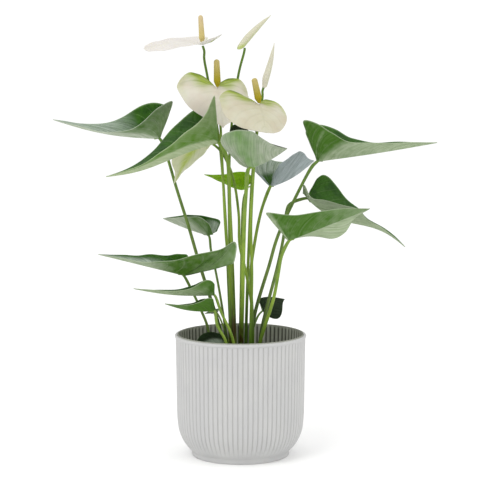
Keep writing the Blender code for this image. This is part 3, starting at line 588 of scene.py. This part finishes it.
leaves["leaf_08"] = dict(
    base=(6, 40, 284), tip=(-39, 40, 297), width=10, lobe=8, bow=-1, foot=(-1, 20), thick=(1.5, 1.1),
    under="youngUnder", top="youngTop",
    near=[(-4, 0), (-6, 2), (5, -4), (17, -3), (32, -1)],
    far=[(-4, 5), (-6, 10), (4, 14), (14, 12), (30, 5)],
    route=[(0, 22, 163), (2, 36, 260)])
leaves["leaf_09"] = dict(
    base=(-35, 35, 232), tip=(-84, 45, 249), width=14, lobe=18, bow=-1, foot=(-12, 21), thick=(1.5, 1.2),
    under="paleUnder", stem="oliveStem",
    near=[(-6, 3), (0, 14), (10, 18), (23, 15), (34, 10), (43, 5)],
    far=[(-8, 6), (-7, 16), (1, 17), (14, 16), (28, 13), (39, 8)],
    route=[(-21, 24, 162), (-28, 30, 199), (-32, 34, 216)],
    green=([(-0.1, 0.9), (0.25, 0.8), (0.4, 0.2), (0.6, -0.2), (1, -0.2)], dull, 0.2),
    paintedSheen=([(0, 1), (0.3, 1), (0.42, 0)], [(0, 1), (0.8, 1), (0.92, 0)]))
leaves["leaf_10"] = dict(
    base=(-60, -32, 198), tip=(-147, -45, 221), width=26, lobe=47, foot=(-33, -5), thick=(1.6, 1.3),
    under="frostedUnder", stem="oliveStem",
    near=[(-41, 20), (-47, 27), (-43, 47), (-27, 36), (1, 23), (23, 12), (49, 5)],
    far=[(-2, 12), (-4, 18), (5, 18), (15, 14), (36, 10), (57, 5)],
    route=[(-34, -6, 134), (-42, -12, 158), (-51, -24, 180)],
    green=([(0, 0.8), (0.42, 1), (0.56, 0.3), (0.85, 0.2), (1, 0.1)], fresh, 0.3),
    paintedSheen=([(0.5, 0), (0.65, 0.9), (1, 0.6)], [(0, 1), (0.5, 0.9), (0.8, 0)]))
leaves["leaf_11"] = dict(
    base=(-28, -46, 179), tip=(-110, -58, 187), width=10, lobe=3, bow=-3, foot=(-6, -38), thick=(1.6, 1.3),
    near=[(-1, 8), (1, 14), (8, 17), (18, 12), (32, 6), (60, 3)],
    far=[(-1, 6), (1, 10), (9, 13), (20, 9), (34, 5), (60, 2)],
    route=[(-8, -39, 131), (-20, -43, 160)],
    green=([(0, 1.1), (0.3, 0.9), (0.55, 0.3), (1, 0)], [(0, 0.4), (1, 0.1)], 0.1))
leaves["leaf_12"] = dict(
    base=(-28, -44, 162), tip=(-78, -56, 171), width=10, lobe=3, bow=-3, foot=(-13, -42), thick=(1.7, 1.4),
    near=[(0, 8), (3, 14), (10, 14), (20, 9), (36, 4)],
    far=[(0, 6), (3, 10), (10, 11), (20, 7), (36, 3)],
    route=[(-15, -43, 128), (-24, -43, 146)],
    green=([(0, 1.3), (0.45, 1.2), (0.7, 0.9), (1, 0.5)], [(0, 0.4), (1, 0.1)], 0.1))
leaves["leaf_13"] = dict(
    base=(24, 38, 150), tip=(48, 44, 161), width=6, lobe=3, foot=(8, 27), thick=(1.2, 1), top="darkTop",
    stem="oliveStem",
    near=[(-1, -5), (5, -12), (11, -15), (17, -12), (23, -3)],
    far=[(0, 5), (2, 11), (10, 10), (18, 6)],
    route=[(12, 30, 125), (18, 35, 142)])
leaves["leaf_14"] = dict(
    base=(-27, 40, 147), tip=(-39, 44, 145), width=6, lobe=4, foot=(-8, 31), thick=(1, 0.8),
    near=[(-3, 1), (-4, 2), (2, 1), (8, 0)],
    far=[(-3, 2), (-4, 3), (2, 3), (8, 2)],
    route=[(-18, 36, 130)])
leaves["leaf_15"] = dict(
    base=(-19, -28, 123), tip=(-48, -32, 119), width=7, lobe=4, bow=1, foot=(-12, -24), thick=(1.2, 1),
    top="darkTop",
    near=[(-2, 1), (-3, 2), (6, -3), (14, -3), (22, -1)],
    far=[(-2, 4), (-1, 9), (8, 13), (18, 13), (26, 7)],
    route=[(-13, -25, 110)],
    paintedSheen=([(0, 0.4), (0.5, 0.8)], [(0, 1), (0.45, 0.9), (0.6, 0)]))

# Blooms: a spathe, the spadix that stands on it and its stalk. fold is how steeply both halves of the
# spathe rise, foldTip the same near its tip; curl rolls them inwards, roll tips both to one side, lift
# raises the lobes, skew widens the near half and neck narrows the foot. The stalk comes at the angle
# arrive to the spathe's normal, and seat widens their gap. reach is how far the green lobes go along the
# margin, near and far; rim, ridge and whole are how green the rim, the middle and the whole are, the
# green of lobes and rim partly their own and partly painted shade; rim also sets the painted shade on
# the rim beside the sinus.
blooms = {}
blooms["bloom_1"] = dict(
    base=(-40, 10, 436), tip=(-101, -6, 432), width=26, lobe=17, bow=3, foot=(-10, 12), arrive=10, seat=0.5,
    spadixTo=(-42, 10, 467), spadixRadius=3.2, stem="darkStem", spadixSkin="paleSpadix", skin="paleSpathe",
    reach=(0.1, 0.1), rim=0.05,
    near=[(-9, 4), (-17, 12), (-5, 8), (10, 1), (26, -3), (42, -5), (58, -4)],
    far=[(-6, 5), (-9, 9), (2, 8), (20, 6), (36, 5), (50, 4), (60, 3)],
    route=[(-12, 12, 160), (-16, 14, 250), (-22, 16, 330), (-34, 12, 398), (-38, 10, 420)])
blooms["bloom_2"] = dict(
    base=(-25, 0, 391), tip=(-18, -16, 350), width=43, skew=0.04, lobe=13, outline="spathe", fold=-4,
    roll=-12, bow=2, sway=1, curl=-6, lift=14, foot=(-5, -16), arrive=-50, seat=0.4, spadixTo=(-25, 2, 421),
    spadixRadius=3.8, stem="sheathedStem", skin="spathe", reach=(0.36, 0.34), rim=0.3,
    route=[(-8, -15, 160), (-15, -15, 235), (-18, -9, 290), (-20, -7, 330), (-21, -4, 352), (-24, 1, 376)])
blooms["bloom_3"] = dict(
    base=(19, -55, 376), tip=(26, -86, 349), width=33, skew=0.22, lobe=17, outline="full", fold=2, roll=-12,
    bow=4, sway=1, curl=-6, lift=8, foot=(10, -20), arrive=-30, seat=0.6, spadixTo=(14, -55, 403),
    spadixRadius=3.8, skin="dullSpathe", reach=(0.38, 0.38), rim=0.4, whole=0.08,
    route=[(11, -20, 150), (12, -24, 197), (11, -28, 250), (14, -34, 310), (17, -47, 353)])
blooms["bloom_4"] = dict(
    base=(5, 20, 435), tip=(32, 24, 467), width=9, lobe=8, outline="bud", neck=0.1, fold=10, foldTip=10,
    curl=140, foot=(-5, 2), arrive=60, seat=-0.3, spadixTo=(14, 21.4, 450.5), spadixRadius=1.4,
    stem="darkStem", spadixSkin="paleSpadix", skin="bud", reach=(0.35, 0.35), ridge=0.35, whole=0.1,
    route=[(-9, 3, 220), (-12, 12, 293), (-10, 22, 345), (-3, 27, 400)])
blooms["bloom_5"] = dict(
    base=(27.5, 16, 392), tip=(35.5, 16, 438), width=9, lobe=2, outline="bud", neck=0.3, fold=10,
    foldTip=10, bow=-2, curl=140, foot=(5, 10), arrive=90, seat=0.4, spadixTo=(27.5, 16, 410),
    spadixRadius=1.4, stem="darkStem", spadixSkin="paleSpadix", skin="bud", reach=(0.12, 0.12), ridge=0.1,
    route=[(8, 14, 200), (12, 24, 290), (18, 24, 345), (23, 16, 379)])
blooms["bloom_6"] = dict(
    base=(-40, 20, 338), tip=(-70, 8, 290), width=12, lobe=9, bow=2, foot=(12, -7), arrive=0, seat=0.8,
    spadixTo=(-47, 27, 355), spadixRadius=2.6, skin="hangingSpathe", reach=(0.35, 0.35), ridge=0.8,
    whole=0.2,
    near=[(-5, 5), (-8, 17), (4, 22), (20, 21), (38, 17), (48, 6)],
    far=[(-5, -4), (-8, -12), (2, -16), (10, -16), (26, -12), (42, -5)],
    route=[(12, -8, 158), (6, -2, 195), (-1, 8, 225), (-2, 16, 257), (-8, 21, 295), (-20, 20, 322)])

# Half of a flat spathe from the end of its lobe to the tip: along the midrib (in lobe lengths behind
# the junction, in blade lengths before it) and away from it (in half widths)
flatOutlines = {
    "spathe": [(-0.62, 0.16), (-1, 0.42), (-0.92, 0.78), (-0.1, 1.02), (0.26, 0.99), (0.52, 0.8),
               (0.76, 0.46), (0.91, 0.12), (1, 0)],
    "full": [(-0.62, 0.16), (-1, 0.42), (-0.92, 0.78), (-0.1, 1.04), (0.3, 1.08), (0.6, 1), (0.84, 0.72),
             (0.96, 0.38), (1, 0)],
    "bud": [(-0.7, 0.3), (-1, 0.6), (-0.6, 0.9), (0.05, 1), (0.25, 0.96), (0.5, 0.78), (0.75, 0.45),
            (0.9, 0.18), (1, 0)],
}

blade = {
    "columns": 84, "rows": 15, "thickness": 0.7,
    "thinEdge": 0.45,  # share of the thickness that the margin loses
    "ribHeight": 1,  # how far the midrib stands out below
    "ribWidth": 1.3,
    "ribTaper": 0.8,  # share of its height that it loses towards the tip
    "quilt": 0.28,  # how far the blade swells between two side veins
    "wave": 0.5,  # ripple of the margin
    "waves": 4.3,  # how many ripples a margin has
    "waveStep": 0.37,  # how far they move on from one leaf to the next
    "fullWidth": 20,  # half width from which a leaf has the whole of this relief
    "lobeShare": 0.35,  # share of the margin that belongs to the lobes
    "notchShare": 0.3,  # share of its width that a lobe has at its inner end
    "neckLength": 8,  # how far a furled spathe narrows towards its foot
}
spathe = {
    "thickness": 0.75, "waveStep": 0.29,
    "relief": 0.8,  # its share of the relief of a leaf
    "gap": 0.4,  # from its middle to the stalk and to the spadix
    "straight": 6,  # length of the stalk under it that arrives straight
}
stem = {
    "sides": 14, "steps": 8, "bottom": 76.3, "soilTop": 102,
    "joint": [(1.2, -1.5), (1, 5)],  # its last points: how far under the midrib, and how far along it
    "knuckle": 0.16,  # share of its radius by which it swells near the blade
    "knucklePlace": 15,  # how far from the blade that is
    "knuckleLength": 7,
    "thinEnd": 0.45,  # share of its radius that is left at the blade
    "thinLength": 8,
}
stalkRadii = (1.8, 1.3)
spadix = {
    "sides": 60, "rows": 110,
    "foot": 0.3,  # share of the radius at the very bottom
    "footLength": 0.2,  # shares of its height
    "domeStart": 0.9,
    "taper": 0.25,
    "floretsRound": 15, "floretHeight": 1.15, "relief": 0.09,
    "furledRise": 0.6,  # how far over the junction it starts in a furled spathe
}


def bladeFrame(plan):
    # length of the chord, its direction, and the upward and far directions across it
    base = np.array(plan["base"], float)
    chord = np.array(plan["tip"], float) - base
    along = unit(chord)
    up = unit(np.array([0, 0, 1.0]) - along * along[2])
    far = np.cross(along, up)
    return np.linalg.norm(chord), along, up, far if far[1] > 0 else -far


def midribFrame(plan, x):
    # the midrib is the chord plus a half wave (bow) and a whole wave (sway); lobes run straight back
    length, along, up, _ = bladeFrame(plan)
    s = np.clip(x / length, 0, 1)
    half, whole = math.pi * s, math.tau * s
    bend = plan["bow"] * np.sin(half) + plan["sway"] * np.sin(whole)
    slope = (plan["bow"] * math.pi * np.cos(half) + plan["sway"] * math.tau * np.cos(whole)) / length
    tangent = unit(along + slope[..., None] * up)
    normal = unit(up - tangent * (tangent @ up)[..., None])
    middle = np.array(plan["base"], float) + (s * length)[..., None] * along + bend[..., None] * up
    return middle + np.minimum(x, 0)[..., None] * tangent, tangent, normal


def pickAlong(line, share):
    # each coordinate of a line of points at these shares of the way along it
    at = share * (len(line) - 1)
    return [np.interp(at, np.arange(len(line)), line[:, k]) for k in range(line.shape[1])]


def leafHalf(plan, side, share, foot, across):
    # straight veins from the midrib to the margin, rising a little faster towards the margin; the half
    # width falls to nothing at the tip, after a fuller stretch, and to a half at the back of the lobe
    length, _, _, far = bladeFrame(plan)
    margin = []
    for x, rise in plan["near" if side < 0 else "far"]:
        s, back = max(0, x / length), max(0, -x / plan["lobe"])
        out = plan["width"] * (1 - s) ** 1.2 * (1 + 1.5 * s) * (1 - 0.5 * back)
        margin.append((x, rise, out if margin else out * blade["notchShare"]))
    xEdge, rise, outEdge = pickAlong(smoothPath(margin + [(length, 0, 0)], 12), share ** 0.9)
    middle, _, normal = midribFrame(plan, foot[:, None] + (xEdge - foot)[:, None] * across)
    out = outEdge[:, None] * across
    return middle + side * out[..., None] * far + (rise[:, None] * across ** 1.2)[..., None] * normal, out


def spatheHalf(plan, side, share, foot, across):
    # a flat half, folded up at the midrib and then rolled to an arc across it
    length, _, _, far = bladeFrame(plan)
    width = plan["width"] * (1 - side * plan["skew"])
    outline = np.array(flatOutlines[plan["outline"]])
    outline = outline * np.where(outline < 0, (plan["lobe"], width), (length, width))
    xEdge, yEdge = pickAlong(smoothPath(outline, 12), share)
    x = foot[:, None] + (xEdge - foot)[:, None] * across
    middle, _, normal = midribFrame(plan, x)
    s, back = np.clip(x / length, 0, 1), np.clip(-x / plan["lobe"], 0, 1)
    fold = plan["fold"] + (plan["foldTip"] - plan["fold"]) * s + plan["lift"] * back
    fold = np.radians(fold + side * plan["roll"])
    neck = 1 - plan["neck"] * np.clip(1 - x / blade["neckLength"], 0, 1)
    taper = 1.03 - 0.9 * s ** 1.8 if plan["outline"] == "bud" else 1 - 0.75 * s
    reach = width * taper * neck
    y = yEdge[:, None] * across * neck
    curl = math.radians(plan["curl"] + 0.01)
    turned = fold + curl * y / reach
    out = reach / curl * (np.sin(turned) - np.sin(fold))
    rise = reach / curl * (np.cos(fold) - np.cos(turned))
    return middle + side * out[..., None] * far + rise[..., None] * normal, y


def bladeGrids(plan, thickness, rib, relief, phase, topTone, underTone):
    # a closed shell: the middle sheet moved out both ways along its normals, joined round the margin
    rows = blade["rows"]
    length, _, up, _ = bladeFrame(plan)
    # the side veins start closer together at the junction, and the rows lie closer at the midrib
    share = np.linspace(0, 1, blade["columns"] + 1)
    foot = length * np.clip((share - blade["lobeShare"]) / (1 - blade["lobeShare"]), 0, 1) ** 1.15
    across = np.linspace(0, 1, rows + 1) ** 1.4
    half = leafHalf if "near" in plan else spatheHalf
    near, far = (half(plan, side, share, foot, across) for side in (-1, 1))
    sheet, out = (np.concatenate([left[:, :0:-1], right], axis=1) for left, right in zip(near, far))
    v = np.concatenate([-across[:0:-1], across])
    # normals; where the lines meet, at the junction and the tip, one shared mean is taken
    lobes = int((foot == 0).sum())
    normal = unit(np.cross(np.gradient(sheet, axis=0), np.gradient(sheet, axis=1)))
    normal[:lobes, rows] = unit((normal[:lobes, rows - 1] + normal[:lobes, rows + 1]).sum(0))
    normal[-1] = unit(normal[-2].sum(0))
    flip = normal[0, rows] @ up < 0
    normal = -normal if flip else normal
    # swelling between side veins, and a ripple that grows towards the margin; both end before the tip
    s = share[:, None]
    beat = np.cos(math.tau * veins["pairs"] * (s - veins["lean"] * v ** 2))
    swell = blade["quilt"] * np.sin(math.pi * np.abs(v)) * (0.5 - 0.5 * beat)
    turn = blade["waves"] * s + phase + 0.2 * np.sign(v)
    wave = blade["wave"] * np.abs(v) ** 3 * np.sin(math.tau * turn)
    sheet = sheet + normal * ((swell + wave) * relief * np.clip(6 * (1 - s), 0, 1))[..., None]
    above = thickness / 2 * (1 - blade["thinEdge"] * np.abs(v) ** 6) * np.ones_like(out)
    below = above + rib * np.exp(-(out / blade["ribWidth"]) ** 2) * (1 - blade["ribTaper"] * s)
    below[:lobes, rows] = below[0, rows]
    top = sheet + normal * above[..., None]
    under = sheet - normal * below[..., None]
    uv = pairGrid(s, 0.5 + 0.5 * v)
    paint = np.where(np.arange(4 * rows + 2) < 2 * rows, 0, 1)
    ring = np.concatenate([top, under[:, ::-1]], axis=1)
    tones = [tone(s, v) * np.ones_like(out) for tone in (topTone, underTone)]
    shell = gridPart(ring, np.concatenate([uv, uv[:, ::-1]], axis=1), paint, closed=True, flip=flip,
                     tone=np.concatenate([tones[0], tones[1][:, ::-1]], axis=1))
    ends = np.stack([top[0], under[0]])
    wall = gridPart(ends, np.stack([uv[0], uv[0]]), 1, flip=not flip, tone=tones[1][0])
    return [shell, wall], normal[0, rows]


def stemLine(plan, lastPoints):
    # straight up out of the soil and smoothly through the route; also how far along each point is
    x, y = plan["foot"]
    upper = smoothPath([(x, y, stem["soilTop"])] + plan["route"] + lastPoints, stem["steps"])
    path = np.vstack([[(x, y, stem["bottom"])], upper])
    return path, np.concatenate([[0], np.cumsum(np.linalg.norm(np.diff(path, axis=0), axis=1))])


def alongList(pairs, x):
    # straight from pair to pair
    return np.interp(x, *np.array(pairs, float).T)


def buildLeaf(name, plan, count):
    near, far, slant = plan["green"]
    lengthwise, outwards = plan["paintedSheen"]

    # painted reflection of the sky on the upper side
    def topTone(s, v):
        return alongList(lengthwise, s) * alongList(outwards, np.abs(v))

    # painted light on the underside: how green it is where light shines through the blade
    def underTone(s, v):
        return np.where(v < 0, alongList(near, s - slant * np.abs(v)), alongList(far, s))

    base, along, normal = midribFrame(plan, np.array(0.0))
    path, distance = stemLine(plan, [base - normal * down + along * on for down, on in stem["joint"]])
    share, left = distance / distance[-1], distance[-1] - distance
    radii = np.interp(share, (0, 1), plan["thick"])
    # a knuckle, the slight swelling below the blade, and a taper into the midrib
    swelling = np.exp(-((left - stem["knucklePlace"]) / stem["knuckleLength"]) ** 2)
    taper = stem["thinEnd"] + (1 - stem["thinEnd"]) * fade(left, 0, stem["thinLength"])
    radii = radii * (1 + stem["knuckle"] * swelling) * taper
    relief = min(1, plan["width"] / blade["fullWidth"])
    phase = blade["waveStep"] * count
    grids, _ = bladeGrids(plan, blade["thickness"], blade["ribHeight"], relief, phase, topTone, underTone)
    grids.append(tubePart(path, radii, stem["sides"], share, 2))
    makePiece(name + "_living", grids, [plan[key] for key in ("top", "under", "stem")], [name])


def buildSpadix(name, plan, start):
    # a tapering column; the florets are the bumps where two crossing sets of spirals are both high
    column = np.array(plan["spadixTo"], float) - start
    axis = unit(column)
    height = np.linalg.norm(column)
    first = unit(np.cross(axis, sideways))
    second = np.cross(axis, first)
    s = np.linspace(0, 1, spadix["rows"] + 1)[:, None]
    foot = spadix["foot"] + (1 - spadix["foot"]) * np.clip(s / spadix["footLength"], 0, 1)
    dome = np.clip((s - spadix["domeStart"]) / (1 - spadix["domeStart"]), 0, 1)
    body = plan["spadixRadius"] * foot * (1 - spadix["taper"] * s) * np.sqrt(1 - dome ** 2)
    turn = evenTurns(spadix["sides"])
    climb = s * height / spadix["floretHeight"] * math.pi / 2
    spin = turn * spadix["floretsRound"]
    relief = np.abs(np.cos(spin + climb) * np.cos(spin - climb)) ** 0.5
    radius = body * (1 - spadix["relief"] + 1.4 * spadix["relief"] * relief)
    grid = (start + column * s[..., None] + first * (radius * np.cos(turn))[..., None]
            + second * (radius * np.sin(turn))[..., None])
    uv = pairGrid(s, relief)
    uv = np.concatenate([uv[:1], uv, uv[-1:]])
    grid = gridPart(withPoles(grid, (start, start + column)), uv, closed=True)
    makePiece(name + "_spadix_florets", [grid], [plan["spadixSkin"]], [name + "_spadix"], 80)


def buildBloom(name, plan, count):
    base, along, normal = midribFrame(plan, np.array(0.0))
    furled = plan["outline"] == "bud"
    rim = plan["rim"]

    def tone(s, v):
        # green at the lobes between ridge and rim and along the rim, partly their own green and partly
        # painted shade where the lobes roll back; along the midrib, and all over; past 1, painted shade on
        # the rim beside the sinus
        s, v, share = s + 0 * v, np.abs(v) + 0 * s, s / np.where(v < 0, *plan["reach"])
        lobes = 1.2 * np.exp(-share ** 4) * fade(v, 0.08, 0.35) * (1 - 0.9 * fade(share * v, 0.35, 0.8))
        margin = rim * fade(v, 0.75, 0.95) * (1 - fade(s, 0.35, 0.6))
        sinusShade = min(1, 3 * rim) * fade(v, 0.7, 0.95) * (1 - fade(share, 0.4, 0.9))
        middle = plan["ridge"] * (1 - fade(v, 0.1, 0.7))
        return np.clip(lobes + margin + middle + plan["whole"], 0, 1) + sinusShade

    relief = 0.0 if furled else spathe["relief"]
    phase = spathe["waveStep"] * count
    grids, normal = bladeGrids(plan, spathe["thickness"], 0, relief, phase, tone, tone)
    makePiece(name + "_spathe_waxy", grids, [plan["skin"]] * 2, [name + "_spathe"])
    gap = spathe["gap"] + plan["seat"]
    turn = math.radians(plan["arrive"])
    arrive = normal * math.cos(turn) + along * math.sin(turn)
    # a furled spathe holds its spadix in the middle of the roll; a stalk at 90 degrees meets it there
    middle = plan["width"] * (1 - plan["neck"]) / math.radians(plan["curl"]) if furled else 0.0
    under = base + normal * middle
    if plan["arrive"] != 90:
        under = base - arrive * (gap + stalkRadii[1] * abs(math.sin(turn))) / math.cos(turn)
    path, distance = stemLine(plan, [under - arrive * spathe["straight"], under])
    share = distance / distance[-1]
    grid = tubePart(path, np.interp(share, (0, 1), stalkRadii), stem["sides"], share)
    makePiece(name + "_stalk_smooth", [grid], [plan["stem"]], [name + "_stalk"])
    start = base + normal * middle + along * spadix["furledRise"]
    if not furled:
        lean = math.acos(np.clip(unit(np.array(plan["spadixTo"], float) - base) @ normal, -1, 1))
        start = base + normal * (gap + spadix["foot"] * plan["spadixRadius"] * math.sin(lean))
    buildSpadix(name, plan, start)


for number, (name, plan) in enumerate(leaves.items()):
    buildLeaf(name, {**usual, **plan}, number)
print("leaves made")
for number, (name, plan) in enumerate(blooms.items()):
    buildBloom(name, {**usual, **plan}, number)
print("blooms made")


# Floor, light and camera

studio = {
    "floorSize": 8,
    "ambient": 1.04,
    "lamps": [("key softbox", (-1, -1.2, 1.9), 13), ("fill softbox", (1.7, -0.7, 1), 4)],
    "lampSize": 1.2,
    "lampAim": (0, 0, 0.25),
    "cameraPlace": (0.0058, -1.95, 0.457),
    "cameraDrop": 6.7,  # degrees below level
    "lens": 135.7,
}


def buildStudio():
    half = studio["floorSize"] / 2
    corners = [(-half, -half, 0), (half, -half, 0), (half, half, 0), (-half, half, 0)]
    mesh = bpy.data.meshes.new("floor")
    mesh.from_pydata(corners, [], [(0, 1, 2, 3)])
    # white studio paper, quite matt, its fibres too fine to show
    mesh.materials.append(plainSkin("White studio paper", 0.9, 0.1, "#ffffff", "#fefefd", "#fdfdfc",
                                    300, 2))
    addToScene("floor", mesh)
    world = bpy.data.worlds.new("studio")
    bpy.context.scene.world = world
    world.use_nodes = True
    sky = world.node_tree.nodes["Background"].inputs
    sky["Color"].default_value = (1, 1, 1, 1)
    sky["Strength"].default_value = studio["ambient"]
    for name, place, watts in studio["lamps"]:
        lamp = bpy.data.lights.new(name, "AREA")
        lamp.size = studio["lampSize"]
        lamp.energy = watts
        x, y, z = (a - b for a, b in zip(studio["lampAim"], place))
        holder = addToScene(name, lamp)
        holder.location = place
        holder.rotation_euler = (math.atan2(math.hypot(x, y), -z), 0, math.atan2(y, x) - math.pi / 2)
    lens = bpy.data.cameras.new("camera")
    lens.lens = studio["lens"]
    lens.sensor_fit = "HORIZONTAL"
    camera = addToScene("camera", lens)
    camera.location = studio["cameraPlace"]
    camera.rotation_euler = (math.radians(90 - studio["cameraDrop"]), 0, 0)
    bpy.context.scene.camera = camera
    bpy.context.scene.view_settings.view_transform = "Standard"


buildStudio()
print("studio made")

bpy.context.view_layer.update()
